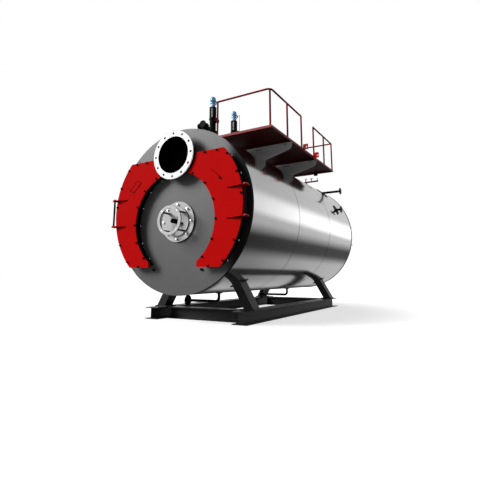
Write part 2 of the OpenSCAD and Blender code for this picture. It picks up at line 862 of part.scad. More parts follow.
// Deck plate with a channel round its edge and two cross bars, and the ladder lugs
module deck() {
    deck_x = deck_x1 - deck_x0;
    deck_y = deck_y1 - deck_y0;
    color(dark_red) translate([deck_x0, deck_y0, axis_h + under_deck]) {
        difference() {
            cube([deck_x, deck_y, edge_h]);
            translate([edge_t, edge_t, edge_t])
                cube([deck_x - 2 * edge_t, deck_y - 2 * edge_t, edge_h - edge_t - deck_t]);
            translate([edge_w, edge_w, -1])
                cube([deck_x - 2 * edge_w, deck_y - 2 * edge_w, edge_t + 2]);
        }
        for (y = [bracket_y0, bracket_y1])
            translate([edge_t, y - deck_y0 - deck_bar_w / 2, 0])
                cube([deck_x - 2 * edge_t, deck_bar_w, edge_h - deck_t / 2]);
    }
    color(red) for (y = [gap_y0 + lug_back, gap_y1 + lug_plate_t - lug_back])
        translate([deck_x1 - edge_t / 2, y, axis_h + under_deck + edge_t]) rotate([90, 0, 0])
            linear_extrude(lug_plate_t) difference() {
                square([lug_out + edge_t / 2, lug_h]);
                translate([0.7 * lug_out, lug_h - 2 * lug_hole_r - edge_t])
                    circle(r = lug_hole_r, $fn = 24);
            }
}

// Outline of a bracket: flat top under the deck, rounded nose, nearly straight lower edge and a
// hollow above its foot on the shell
module bracket_outline() {
    steps = 6;
    corner = [deck_x1, under_deck - bracket_nose];
    foot_x = bracket_foot * shell_r;
    foot = [foot_x, sqrt(pow(shell_r, 2) - pow(foot_x, 2)) + bracket_rise];
    slope = atan2(corner[1] - foot[1], corner[0] - foot[0]);
    nose_middle = corner + bracket_nose_r * [-1, tan(45 - slope / 2)];
    hook_middle = foot + bracket_hook_r * [sin(slope), -cos(slope)];
    difference() {
        polygon(concat(
            [[bracket_x0, under_deck], [corner[0], under_deck]],
            [for (k = [0 : steps]) let (a = k * (slope - 90) / steps)
                nose_middle + bracket_nose_r * [cos(a), sin(a)]],
            [for (k = [0 : steps]) let (a = 90 + slope + k * (100 - slope) / steps)
                hook_middle + bracket_hook_r * [cos(a), sin(a)]],
            [[bracket_x0, foot[1] - bracket_rise - bracket_hook_r]]));
        circle(r = shell_r + seat, $fn = fine);
    }
}

module brackets() {
    color(steel_grey) for (y = [bracket_y0, bracket_y1])
        across(y - bracket_t / 2, bracket_t) bracket_outline();
}

// A handrail post on the deck
module post(x, y) { upright(x, y, deck_up, rail_z, rail_r, $fn = 32); }

rail_x0 = deck_x0 + rail_r + 2 * rail_in;
rail_x1 = deck_x1 - rail_r - rail_in;
rail_y0 = deck_y0 + rail_r + rail_in;
rail_y1 = deck_y1 - rail_r - rail_in;

module rail_ball(x, y) { translate([x, y, axis_h + rail_z]) sphere(r = rail_r, $fn = 32); }

module rail_run_y(x, y0, y1) { along_y(x, rail_z, rail_r, y0, y1 - y0, $fn = 32); }

module front_rail() {
    bend_in = rail_bend * (1 - sqrt(0.5));
    color(dark_red) {
        post(rail_x0, rail_y0);
        rail_ball(rail_x0, rail_y0);
        along_x(rail_x0, rail_x1 - rail_bend, rail_y0, rail_z, rail_r, $fn = 32);
        translate([rail_x1 - rail_bend, rail_y0 + rail_bend, axis_h + rail_z]) rotate([0, 0, -90])
            rotate_extrude(angle = 90) translate([rail_bend, 0]) circle(r = rail_r, $fn = 32);
        rail_run_y(rail_x1, rail_y0 + rail_bend, gap_y0);
        rail_ball(rail_x1, gap_y0);
        post(rail_x1 - bend_in, rail_y0 + bend_in);
        post(rail_x1, (rail_y0 + gap_y0) / 2);
        post(rail_x1, gap_y0);
    }
}

module rear_rail() {
    post_back = 50;
    color(dark_red) {
        post(rail_x1, gap_y1);
        rail_ball(rail_x1, gap_y1);
        rail_run_y(rail_x1, gap_y1, rail_y1);
        post(rail_x1, (gap_y1 + rail_y1) / 2 + post_back);
        post(rail_x1, rail_y1);
        rail_ball(rail_x1, rail_y1);
        along_x(rail_x0, rail_x1, rail_y1, rail_z, rail_r, $fn = 32);
        rail_ball(rail_x0, rail_y1);
        post(rail_x0, rail_y1);
    }
}

// A level gauge nozzle that runs to the right from the shell's flank, its bore closed at the jacket
module level_nozzle(z) {
    y = shell_l - level_back;
    start_x = shell_r / 2;
    pad_h = 12;
    end_wall = 10;
    bore_x = sqrt(pow(shell_r, 2) - pow(z - level_bore_r, 2)) + end_wall;
    difference() {
        union() {
            along_x(start_x, level_x, y, z, level_r);
            along_x(level_x - valve_flange_t, level_x, y, z, level_flange_r);
            intersection() {
                along_x(start_x, level_x, y, z, level_pad_r);
                shell_space(pad_h);
            }
        }
        along_x(bore_x, level_x + 1, y, z, level_bore_r);
        shell_space();
    }
}

module level_nozzles() {
    color(black) for (share = [level_up_share, level_low_share]) level_nozzle(share * shell_r);
}

// A blow-down pipe: down from the shell's underside, then out to the left
module blow_down(y) {
    pad_w = 40;
    pad_h = 14;
    root = 20 - shell_r;
    color(black) difference() {
        union() {
            upright(0, y, drain_bend - drain_down, root, drain_r);
            translate([-drain_bend, y, axis_h + drain_bend - drain_down]) rotate([90, 0, 0])
                rotate([0, 0, -90]) rotate_extrude(angle = 90)
                    translate([drain_bend, 0]) circle(r = drain_r);
            along_x(-drain_x, -drain_bend, y, -drain_down, drain_r);
            along_x(-drain_x, valve_flange_t - drain_x, y, -drain_down, drain_flange_r);
            upright(0, y, -shell_r - pad_h, root, drain_r + pad_w);
        }
        along_x(-drain_x - 1, -drain_bend, y, -drain_down, drain_bore_r);
        shell_space();
    }
}

module front_blow_down() { blow_down(drain_y); }
module rear_blow_down() { blow_down(shell_l - drain_y); }

// Small rack behind the platform: a bar on one foot with three short uprights
module gauge_rack() {
    y = shell_l - rack_back;
    bar_z = shell_r + rack_rise;
    bar_w = 30;
    bar_h = 24;
    foot_w = 40;
    post_r = 11;
    color(red) difference() {
        union() {
            translate([rack_x0, y - bar_w / 2, axis_h + bar_z]) cube([rack_l, bar_w, bar_h]);
            translate([rack_x0 + foot_w, y - foot_w / 4, axis_h + shell_r - rack_l])
                cube([foot_w, foot_w / 2, rack_l + rack_rise + bar_h / 2]);
            for (share = [0.1, 0.52, 0.95])
                upright(rack_x0 + share * rack_l, y, bar_z + bar_h / 2, bar_z + 4 * bar_h, post_r,
                        $fn = 24);
        }
        shell_space();
    }
}

// Outline of a box leg on the right side, from the foot plate up to the pad on the shell
module leg_outline(wall) {
    difference() {
        rotate(-leg_a) translate([shell_r - 60, wall - leg_w / 2])
            square([axis_h, leg_w - 2 * wall]);
        circle(r = shell_r + pad_t + seat, $fn = fine);
        translate([0, foot_top - 2 * axis_h]) square([2 * shell_r, 2 * axis_h]);
    }
}

// A leg with its pad, foot plate and closed box walls, its middle at y
module leg(y) {
    pad_half = asin((leg_w / 2 + pad_lap) / shell_r);
    vent_r = 15;
    vent_z = foot_top + 60;
    foot_lap = 20;
    difference() {
        across(y - leg_l / 2, leg_l) leg_outline(0);
        across(y - leg_l / 2 + leg_t, leg_l - 2 * leg_t) leg_outline(leg_t);
        along_y(-vent_z / tan(leg_a), vent_z, vent_r, y, leg_l);
    }
    across(y - leg_l / 2, leg_l) intersection() {
        difference() {
            circle(r = shell_r + pad_t + seat, $fn = fine);
            circle(r = shell_r + seat, $fn = fine);
        }
        rotate(-leg_a) translate([shell_r / 2, -shell_r * sin(pad_half)])
            square([shell_r, 2 * shell_r * sin(pad_half)]);
    }
    translate([beam_x - beam_w / 2, y - leg_l / 2 - foot_lap, beam_h])
        cube([beam_w, leg_l + 2 * foot_lap, foot_t]);
}

module leg_pair(y) {
    color(dark_grey) for (side = [0, 1]) mirror([side, 0, 0]) leg(y);
}

module front_legs() { leg_pair(leg_y); }
module rear_legs() { leg_pair(shell_l - leg_y); }

// Outline of an I-section standing on the floor
module beam_section() {
    difference() {
        translate([-beam_w / 2, 0]) square([beam_w, beam_h]);
        for (side = [-1, 1]) translate([side * (beam_w + beam_tw) / 2 - beam_w / 2, beam_tf])
            square([beam_w, beam_h - 2 * beam_tf]);
    }
}

module base_beam(x) {
    color(dark_grey) translate([x, shell_l - base_y1, 0]) rotate([90, 0, 0])
        linear_extrude(shell_l - base_y1 - base_y0) beam_section();
}

module long_beams() { for (side = [-1, 1]) base_beam(side * beam_x); }

// Cross beams between the long beams, with their flanges cut back to the long beams' flanges
module cross_beams() {
    half = beam_x - beam_w / 2;
    color(dark_grey) for (y = [leg_y, shell_l - leg_y])
        translate([-half, y, 0]) rotate([90, 0, 90]) linear_extrude(2 * half) intersection() {
            beam_section();
            translate([-leg_l / 2, 0]) square([leg_l, beam_h]);
        }
}

placed() jacket_front();
placed() jacket_middle();
placed() jacket_rear();
placed() pressure_shell();
placed() front_plate();
placed() front_plate_rim();
placed() tube_plate();
placed() fire_tubes();
placed() rear_plate();
placed() rear_cover();
placed() smoke_box_left();
placed() smoke_box_right();
placed() smoke_box_cover();
placed() flue_neck();
placed() flue_flange();
placed() left_door();
placed() left_door_lining();
placed() right_door();
placed() right_door_lining();
placed() hinge_lugs();
placed() hinge_pins();
placed() swing_bolts();
placed() burner_plate();
placed() burner_cage();
placed() burner_bars();
placed() burner_stub();
placed() valve_nozzles();
placed() front_safety_valve();
placed() front_safety_head();
placed() rear_safety_valve();
placed() rear_safety_head();
placed() steam_valve();
placed() steam_valve_wheel();
placed() deck();
placed() brackets();
placed() front_rail();
placed() rear_rail();
placed() level_nozzles();
placed() front_blow_down();
placed() rear_blow_down();
placed() gauge_rack();
placed() front_legs();
placed() rear_legs();
placed() long_beams();
placed() cross_beams();
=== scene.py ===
"""Looks of a horizontal steam boiler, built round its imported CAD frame."""
import json
import math

import bmesh
import bpy
from mathutils import Matrix, Vector


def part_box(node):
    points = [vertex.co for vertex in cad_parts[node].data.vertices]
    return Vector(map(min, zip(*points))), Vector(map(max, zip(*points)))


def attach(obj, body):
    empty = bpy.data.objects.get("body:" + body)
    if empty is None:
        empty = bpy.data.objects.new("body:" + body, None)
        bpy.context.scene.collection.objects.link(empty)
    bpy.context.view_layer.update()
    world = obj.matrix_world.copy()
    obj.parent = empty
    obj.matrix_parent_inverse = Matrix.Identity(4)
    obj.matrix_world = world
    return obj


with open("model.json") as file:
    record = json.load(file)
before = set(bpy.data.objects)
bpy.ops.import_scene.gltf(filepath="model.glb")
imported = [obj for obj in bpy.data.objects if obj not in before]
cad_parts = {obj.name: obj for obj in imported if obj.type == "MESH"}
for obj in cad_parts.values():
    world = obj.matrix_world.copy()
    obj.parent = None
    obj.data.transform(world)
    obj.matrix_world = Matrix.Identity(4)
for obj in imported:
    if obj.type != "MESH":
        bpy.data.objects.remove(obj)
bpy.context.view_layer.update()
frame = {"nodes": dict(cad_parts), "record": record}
mounts = {mount["name"]: mount for mount in frame["record"]["mounts"]}

# Driving places, in metres, read from the frame
plate_low, plate_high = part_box("front_plate_rim")
FACE_Y = plate_low.y
AXIS_Z = (plate_low.z + plate_high.z) / 2
PLATE_R = (plate_high.z - plate_low.z) / 2
PLATE_T = plate_high.y - plate_low.y
ring_low, ring_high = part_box("burner_cage")
FURNACE_Z = (ring_low.z + ring_high.z) / 2
RING_R = (ring_high.z - ring_low.z) / 2
RING_IN_R = mounts["burner_bore"]["dims"]["r_mm"] / 1000
disc_low, disc_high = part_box("burner_plate")
BURNER_R = (disc_high.z - disc_low.z) / 2
flue_low, flue_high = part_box("flue_flange")
FLUE_Z = (flue_low.z + flue_high.z) / 2
neck_low, neck_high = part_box("flue_neck")
deck_low, deck_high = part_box("deck")
rail_low, rail_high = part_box("front_rail")
bracket_low, bracket_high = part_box("brackets")
rack_low, rack_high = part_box("gauge_rack")
RACK_Y = (rack_low.y + rack_high.y) / 2
course_low, course_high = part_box("jacket_middle")

# Thicknesses and widths of the CAD part's sheets and bars, which the frame's boxes don't give
DOOR_T = 0.016
BURNER_T = 0.028
DECK_T = 0.006
EDGE_T = 0.007
EDGE_W = 0.040
BAR_W = 0.050
DOOR_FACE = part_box("right_door_lining")[0].y - DOOR_T

# How far thin trim stands off the surface that it covers
SKIN = 0.001
THIN_SKIN = 0.0005

DOOR_SIDES = {"left": -1, "right": 1}


# Materials

MOTTLE_SCALE = 2.5
MOTTLE_DETAIL = 4.0
PEEL_SCALE = 45.0
PEEL_STRENGTH = 0.04
PEEL_DEPTH = 0.001


def add_mottle(material, share):
    """Vary colour and roughness a little over a surface, and give paint its fine orange peel."""
    tree = material.node_tree
    shader = tree.nodes["Principled BSDF"]
    coords = tree.nodes.new("ShaderNodeTexCoord")
    noise = tree.nodes.new("ShaderNodeTexNoise")
    noise.inputs["Scale"].default_value = MOTTLE_SCALE
    noise.inputs["Detail"].default_value = MOTTLE_DETAIL
    spread = tree.nodes.new("ShaderNodeMapRange")
    spread.inputs["To Min"].default_value = 1 - share
    spread.inputs["To Max"].default_value = 1 + share
    colour = tree.nodes.new("ShaderNodeVectorMath")
    colour.operation = "SCALE"
    colour.inputs["Vector"].default_value = shader.inputs["Base Color"].default_value[:3]
    rough = tree.nodes.new("ShaderNodeMath")
    rough.operation = "MULTIPLY"
    rough.inputs[1].default_value = shader.inputs["Roughness"].default_value
    link = tree.links.new
    link(coords.outputs["Object"], noise.inputs["Vector"])
    link(noise.outputs["Fac"], spread.inputs["Value"])
    link(spread.outputs["Result"], colour.inputs["Scale"])
    link(spread.outputs["Result"], rough.inputs[0])
    link(colour.outputs["Vector"], shader.inputs["Base Color"])
    link(rough.outputs["Value"], shader.inputs["Roughness"])
    if shader.inputs["Metallic"].default_value == 0:
        peel = tree.nodes.new("ShaderNodeTexNoise")
        peel.inputs["Scale"].default_value = PEEL_SCALE
        bump = tree.nodes.new("ShaderNodeBump")
        bump.inputs["Strength"].default_value = PEEL_STRENGTH
        bump.inputs["Distance"].default_value = PEEL_DEPTH
        link(coords.outputs["Object"], peel.inputs["Vector"])
        link(peel.outputs["Fac"], bump.inputs["Height"])
        link(bump.outputs["Normal"], shader.inputs["Normal"])


def new_material(name, colour, roughness, metallic=0.0, specular=0.5, mottle=0.10):
    """A surface of one paint or metal, a little uneven unless mottle is 0."""
    material = bpy.data.materials.new(name)
    material.use_nodes = True
    shader = material.node_tree.nodes["Principled BSDF"]
    shader.inputs["Base Color"].default_value = (*colour, 1.0)
    shader.inputs["Roughness"].default_value = roughness
    shader.inputs["Metallic"].default_value = metallic
    shader.inputs["Specular IOR Level"].default_value = specular
    if mottle:
        add_mottle(material, mottle)
    return material


PLATE_GREY = (0.084, 0.084, 0.086)

steel = new_material("polished_jacket", (0.80, 0.80, 0.80), 0.14, metallic=1.0, mottle=0.03)
plate_paint = new_material("plate_paint", PLATE_GREY, 0.45, specular=0.33)
# The front plate's rim: the same grey, with painted shade towards its sides
side_shaded_paint = new_material("side_shaded_paint", PLATE_GREY, 0.45, specular=0.33)
black_paint = new_material("black_paint", (0.0030, 0.0030, 0.0030), 0.45, specular=0.03)
# Soot inside the flue, and painted shade at its flange's holes
soot_and_shade_black = new_material("soot_and_shade_black", (0.001, 0.001, 0.001), 1.0, specular=0.0)
door_red = new_material("door_red", (0.46, 0.0035, 0.0035), 0.6, specular=0.01)
nut_red = new_material("nut_red", (0.06, 0.001, 0.001), 0.6, specular=0.01)
rail_red = new_material("rail_red", (0.18, 0.003, 0.003), 0.5, specular=0.03)
# Lighter and pinker than the doors' red, as a painted highlight on the hinge lugs
lug_highlight_red = new_material("lug_highlight_red", (0.50, 0.030, 0.032), 0.3, specular=0.5)
# The hinge pins' red, darkened to near black as painted shade
pin_shade_red = new_material("pin_shade_red", (0.018, 0.002, 0.002), 0.6, specular=0.02)
deck_red = new_material("deck_red", (0.25, 0.040, 0.040), 0.5, specular=0.12)
# Dark red standing in for the shade under the deck
underside_shade_red = new_material("underside_shade_red", (0.032, 0.0025, 0.0025), 0.5, specular=0.05)
# Near-black red for the painted shadow under the doors' arms
painted_shadow_red = new_material("painted_shadow_red", (0.012, 0.0008, 0.0008), 0.9, specular=0.0)
burner_paint = new_material("burner_paint", (0.54, 0.54, 0.54), 0.5, specular=0.1)
flange_white = new_material("flange_white", (0.95, 0.95, 0.95), 0.5, specular=0.2)
bolt_steel = new_material("bolt_steel", (0.95, 0.95, 0.95), 0.30, metallic=1.0)
slot_grey = new_material("slot_grey", (0.22, 0.22, 0.21), 0.4)
cap_blue = new_material("cap_blue", (0.11, 0.36, 0.60), 0.25)
base_paint = new_material("base_paint", (0.012, 0.012, 0.0125), 0.38, specular=0.25)
bracket_grey = new_material("bracket_grey", (0.34, 0.34, 0.34), 0.4, specular=0.3)
seam_grey = new_material("seam_grey", (0.10, 0.10, 0.10), 0.7, specular=0.05)
lining_grey = new_material("lining_grey", (0.42, 0.40, 0.37), 0.85)
inner_steel = new_material("inner_steel", (0.12, 0.11, 0.10), 0.7)


def add_side_painted_shade(material, unshaded_x, shaded_x, share_left):
    """Painted shade: darken a paint and its gloss towards the boiler's sides, beside the doors."""
    tree = material.node_tree
    shader = tree.nodes["Principled BSDF"]
    place = tree.nodes.new("ShaderNodeNewGeometry")
    parts = tree.nodes.new("ShaderNodeSeparateXYZ")
    beside = tree.nodes.new("ShaderNodeMath")
    beside.operation = "ABSOLUTE"
    fade = tree.nodes.new("ShaderNodeMapRange")
    fade.interpolation_type = "SMOOTHSTEP"
    fade.inputs["From Min"].default_value = unshaded_x
    fade.inputs["From Max"].default_value = shaded_x
    fade.inputs["To Min"].default_value = 1.0
    fade.inputs["To Max"].default_value = share_left
    colour = tree.nodes.new("ShaderNodeVectorMath")
    colour.operation = "SCALE"
    colour.inputs["Vector"].default_value = shader.inputs["Base Color"].default_value[:3]
    gloss = tree.nodes.new("ShaderNodeMath")
    gloss.operation = "MULTIPLY"
    gloss.inputs[1].default_value = shader.inputs["Specular IOR Level"].default_value
    link = tree.links.new
    link(place.outputs["Position"], parts.inputs["Vector"])
    link(parts.outputs["X"], beside.inputs[0])
    link(beside.outputs["Value"], fade.inputs["Value"])
    link(fade.outputs["Result"], colour.inputs["Scale"])
    link(fade.outputs["Result"], gloss.inputs[0])
    link(colour.outputs["Vector"], shader.inputs["Base Color"])
    link(gloss.outputs["Value"], shader.inputs["Specular IOR Level"])


# Painted shade on the rim, where the doors' shadow falls beside them
add_side_painted_shade(side_shaded_paint, unshaded_x=0.95, shaded_x=1.20, share_left=0.15)

NODE_MATERIALS = {
    "jacket_front": steel,
    "jacket_middle": steel,
    "jacket_rear": steel,
    "pressure_shell": inner_steel,
    "front_plate": plate_paint,
    "front_plate_rim": side_shaded_paint,
    "tube_plate": inner_steel,
    "fire_tubes": inner_steel,
    "rear_plate": plate_paint,
    "rear_cover": door_red,
    "smoke_box_left": black_paint,
    "smoke_box_right": black_paint,
    "smoke_box_cover": black_paint,
    "flue_neck": black_paint,
    "flue_flange": flange_white,
    "left_door": door_red,
    "left_door_lining": lining_grey,
    "right_door": door_red,
    "right_door_lining": lining_grey,
    "hinge_lugs": lug_highlight_red,
    "hinge_pins": pin_shade_red,
    "swing_bolts": bolt_steel,
    "burner_plate": burner_paint,
    "burner_cage": burner_paint,
    # The burner's bars are black as painted shade
    "burner_bars": black_paint,
    "burner_stub": black_paint,
    "valve_nozzles": black_paint,
    "front_safety_valve": black_paint,
    "front_safety_head": cap_blue,
    "rear_safety_valve": black_paint,
    "rear_safety_head": cap_blue,
    "steam_valve": black_paint,
    "steam_valve_wheel": black_paint,
    "deck": deck_red,
    "brackets": bracket_grey,
    "front_rail": rail_red,
    "rear_rail": rail_red,
    "level_nozzles": black_paint,
    "front_blow_down": black_paint,
    "rear_blow_down": black_paint,
    "gauge_rack": rail_red,
    "front_legs": base_paint,
    "rear_legs": base_paint,
    "long_beams": base_paint,
    "cross_beams": base_paint,
}

for node_name, node_material in NODE_MATERIALS.items():
    node_mesh = frame["nodes"][node_name].data
    node_mesh.materials.clear()
    node_mesh.materials.append(node_material)


# Building small pieces

CREASE = math.radians(35)
SAME_POINT = 0.00001
JACKET_SIDES = 180


def at(x, y, z):
    """A point given from the front plate's face and the shell axis."""
    return Vector((x, FACE_Y + y, AXIS_Z + z))


def forward(distance):
    """A step towards the burner end."""
    return Vector((0, -distance, 0))


def up(distance):
    """A step upwards."""
    return Vector((0, 0, distance))


def spots_round(centre_z, radius, y, count, first=0.0):
    """Points evenly spaced on a circle round an axis along Y."""
    angles = [first + 2 * math.pi * k / count for k in range(count)]
    return [Vector((radius * math.cos(a), y, centre_z + radius * math.sin(a))) for a in angles]


def add_round(bm, start, end, radius, sides=24):
    """A round or many-sided bar between two points."""
    axis = end - start
    turn = axis.to_track_quat("Z", "Y").to_matrix().to_4x4()
    place = Matrix.Translation((start + end) / 2) @ turn
    bmesh.ops.create_cone(
        bm, cap_ends=True, segments=sides, radius1=radius, radius2=radius,
        depth=axis.length, matrix=place,
    )


def add_box(bm, low, high):
    """A box between two opposite corners."""
    low = Vector(low)
    high = Vector(high)
    place = Matrix.Translation((low + high) / 2) @ Matrix.Diagonal((*(high - low), 1.0))
    bmesh.ops.create_cube(bm, size=1.0, matrix=place)


def add_prism(bm, corners, end_corners):
    """A straight-sided solid between two like outlines."""
    front = [bm.verts.new(corner) for corner in corners]
    back = [bm.verts.new(corner) for corner in end_corners]
    bm.faces.new(front)
    bm.faces.new(list(reversed(back)))
    for k in range(len(front)):
        following = (k + 1) % len(front)
        bm.faces.new((front[following], front[k], back[k], back[following]))


def add_flat(bm, outline, front_y, back_y):
    """A flat plate across the shell, from its corners as (x, z) about the shell axis."""
    add_prism(bm, [at(x, front_y, z) for x, z in outline], [at(x, back_y, z) for x, z in outline])


def add_strip(bm, start, end, width, front_y, back_y):
    """A thin flat strip between two (x, z) points on a plane across the shell."""
    run = Vector(end) - Vector(start)
    side = Vector((-run.y, run.x)).normalized() * width / 2
    corners = (Vector(start) + side, Vector(end) + side, Vector(end) - side, Vector(start) - side)
    add_flat(bm, [(c.x, c.y) for c in corners], front_y, back_y)


def add_sleeve(bm, centre_z, radius, front_y, back_y, sides=96):
    """The thin side of a disc, as an open band round an axis along Y."""
    front = [bm.verts.new(spot) for spot in spots_round(centre_z, radius, front_y, sides)]
    back = [bm.verts.new(spot) for spot in spots_round(centre_z, radius, back_y, sides)]
    for k in range(sides):
        following = (k + 1) % sides
        bm.faces.new((front[k], front[following], back[following], back[k]))


def make_piece(name, body, material, build):
    """One object from the shapes that build() adds, riding on a CAD body."""
    bm = bmesh.new()
    build(bm)
    bmesh.ops.recalc_face_normals(bm, faces=bm.faces)
    for face in bm.faces:
        face.smooth = True
    for edge in bm.edges:
        edge.smooth = len(edge.link_faces) == 2 and edge.calc_face_angle() < CREASE
    mesh = bpy.data.meshes.new(name)
    bm.to_mesh(mesh)
    bm.free()
    mesh.materials.append(material)
    piece = bpy.data.objects.new(name, mesh)
    bpy.context.scene.collection.objects.link(piece)
    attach(piece, body)


def solid_boxes(node):
    """Boxes of a node's separate solids, as (low, high), in an order that never changes."""
    thing = frame["nodes"][node]
    bm = bmesh.new()
    bm.from_mesh(thing.data)
    bmesh.ops.remove_doubles(bm, verts=bm.verts, dist=SAME_POINT)
    left = set(bm.verts)
    boxes = []
    while left:
        group = [left.pop()]
        for vert in group:
            for edge in vert.link_edges:
                other = edge.other_vert(vert)
                if other in left:
                    left.remove(other)
                    group.append(other)
        points = [thing.matrix_world @ vert.co for vert in group]
        low = Vector([min(point[k] for point in points) for k in range(3)])
        high = Vector([max(point[k] for point in points) for k in range(3)])
        boxes.append((low, high))
    bm.free()
    return sorted(boxes, key=lambda box: (tuple(box[0]), tuple(box[1])))


def solid_middles(node):
    """Middles of a node's separate solids."""
    return [(low + high) / 2 for low, high in solid_boxes(node)]


# Nuts on the doors' swing bolts: washer, nut and thread end, as reach, radius and number of sides

NUT_STEPS = ((0.004, 0.020, 24), (0.020, 0.017, 6), (0.032, 0.008, 12))
bolt_middles = solid_middles("swing_bolts")


def add_door_nuts(bm, side):
    """A nut on each swing bolt of one door, each step starting where the last one ends."""
    for middle in bolt_middles:
        if middle.x * side > 0:
            near = 0.0
            for reach, radius, sides in NUT_STEPS:
                start = Vector((middle.x, DOOR_FACE - reach, middle.z))
                end = Vector((middle.x, DOOR_FACE - near, middle.z))
                add_round(bm, start, end, radius, sides)
                near = reach


for side_name, side in DOOR_SIDES.items():
    make_piece(
        side_name + "_door_nuts", side_name + "_door", nut_red,
        lambda bm: add_door_nuts(bm, side),
    )


# Painted shadow under the doors' arms: a dark plate below each one

ARM_T = 0.014
ARM_L = 0.350
ARM_OUT = 0.060
ARM_TIP = 0.075
ARM_ROOT = 0.050
ARM_STEP = 0.006
LUG_GAP = 0.002
UNDER_T = 0.016
ARM_OUTLINE = ((ARM_L, 0.0), (ARM_TIP, -ARM_OUT), (ARM_ROOT, ARM_STEP - ARM_OUT), (ARM_ROOT, 0.0))
lug_boxes = solid_boxes("hinge_lugs")
pin_middles = solid_middles("hinge_pins")


def add_arm_painted_shadows(bm, side):
    """A thin dark plate of painted shadow under each arm of one door, clear of the hinge pin."""
    pin = next(middle for middle in pin_middles if middle.x * side > 0)
    for low, high in lug_boxes:
        if low.x * side > 0:
            top = low.z - LUG_GAP - ARM_T
            upper = [Vector((pin.x - side * inward, DOOR_FACE + out, top)) for inward, out in ARM_OUTLINE]
            lower = [corner - up(UNDER_T) for corner in upper]
            add_prism(bm, upper, lower)


for side_name, side in DOOR_SIDES.items():
    make_piece(
        side_name + "_arm_painted_shadows", side_name + "_door", painted_shadow_red,
        lambda bm: add_arm_painted_shadows(bm, side),
    )


# Nuts round the rear cover's edge, on the face that its arms stand out from

REAR_NUTS = 16
REAR_NUT_EDGE = 0.045


def add_rear_nuts(bm):
    low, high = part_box("rear_cover")
    ring_r = (high.z - low.z) / 2 - REAR_NUT_EDGE
    for root in spots_round(AXIS_Z, ring_r, high.y - ARM_OUT, REAR_NUTS):
        for reach, radius, sides in NUT_STEPS:
            add_round(bm, root, root - forward(reach), radius, sides)


make_piece("rear_cover_nuts", "boiler", nut_red, add_rear_nuts)


# Painted shade: black sleeves over the swing bolts' shanks, between their eyes and the doors

SHANK_R = 0.0095
EYE_OUT = 0.031


def add_shank_shade(bm):
    for low, high in solid_boxes("swing_bolts"):
        middle = (low + high) / 2
        start = Vector((middle.x, low.y + SKIN, middle.z))
        end = Vector((middle.x, FACE_Y - EYE_OUT, middle.z))
        add_round(bm, start, end, SHANK_R, 16)


make_piece("swing_bolt_shank_shade", "boiler", black_paint, add_shank_shade)


# Bare plate on the left door and a plain arrow on the right one, from corners as (x, z)

DOOR_Y = DOOR_FACE - FACE_Y
BARE_PLATE = ((-0.891, 0.607), (-0.790, 0.556), (-0.973, 0.383), (-1.071, 0.428))
BARE_PLATE_OUT = 0.003
FRAME_W = 0.010
FRAME_OUT = 0.005
ARROW_TAIL = (0.806, 0.613)
ARROW_NECK = (1.000, 0.434)
ARROW_HEAD = ((1.040, 0.393), (0.945, 0.425), (0.985, 0.468))
ARROW_W = 0.009
ARROW_OUT = 0.004


def add_bare_plate(bm):
    add_flat(bm, BARE_PLATE, DOOR_Y - BARE_PLATE_OUT, DOOR_Y)


def add_plate_frame(bm):
    for k, corner in enumerate(BARE_PLATE):
        following = BARE_PLATE[(k + 1) % len(BARE_PLATE)]
        add_strip(bm, corner, following, FRAME_W, DOOR_Y - FRAME_OUT, DOOR_Y)


def add_arrow(bm):
    add_strip(bm, ARROW_TAIL, ARROW_NECK, ARROW_W, DOOR_Y - ARROW_OUT, DOOR_Y)
    add_flat(bm, ARROW_HEAD, DOOR_Y - ARROW_OUT, DOOR_Y)


make_piece("door_plate", "left_door", door_red, add_bare_plate)
make_piece("door_plate_frame", "left_door", nut_red, add_plate_frame)
make_piece("door_arrow", "right_door", nut_red, add_arrow)


# Painted shade: black sleeves on the rims of the front plate, of the burner opening's discs and ring, and
# inside the ring

PLATE_SKIN = 0.0015
BRIGHT_EDGE = 0.008


def add_shade_rims(bm):
    disc_front = FACE_Y - BURNER_T
    add_sleeve(bm, AXIS_Z, PLATE_R + PLATE_SKIN, FACE_Y + THIN_SKIN, FACE_Y + PLATE_T, JACKET_SIDES)
    add_sleeve(bm, FURNACE_Z, BURNER_R + SKIN, disc_front + SKIN, FACE_Y - SKIN)
    add_sleeve(bm, FURNACE_Z, RING_R + SKIN, disc_low.y + SKIN, disc_front - THIN_SKIN)
    add_sleeve(bm, FURNACE_Z, RING_R + SKIN, ring_low.y + BRIGHT_EDGE, ring_high.y - SKIN)
    add_sleeve(bm, FURNACE_Z, RING_IN_R - SKIN, ring_low.y + SKIN, ring_high.y - SKIN)


make_piece("painted_shade_rims", "boiler", black_paint, add_shade_rims)


# Sealing strips over the grooves between the jacket's courses

SEAM_W = 0.014
SEAM_SKIN = 0.0006


def add_seams(bm):
    strip_r = (course_high.z - course_low.z) / 2 + SEAM_SKIN
    for y in (course_low.y, course_high.y):
        add_sleeve(bm, AXIS_Z, strip_r, y - SEAM_W / 2, y + SEAM_W / 2, JACKET_SIDES)


make_piece("jacket_seams", "boiler", seam_grey, add_seams)


# Bolts of the burner opening: nuts on the plate behind, black as painted shade, and stud ends inside the
# front ring's holes

PLATE_BOLTS = 8
PLATE_BOLTS_R = 0.310
PLATE_NUT_R = 0.017
NUT_OUT = 0.022
THREAD_OUT = 0.038
STUD_GAP = 0.0003
plate_bolt_spots = spots_round(FURNACE_Z, PLATE_BOLTS_R, FACE_Y - BURNER_T, PLATE_BOLTS)


def add_shaded_bolt_roots(bm):
    for spot in plate_bolt_spots:
        add_round(bm, spot + forward(NUT_OUT), spot, PLATE_NUT_R, 6)


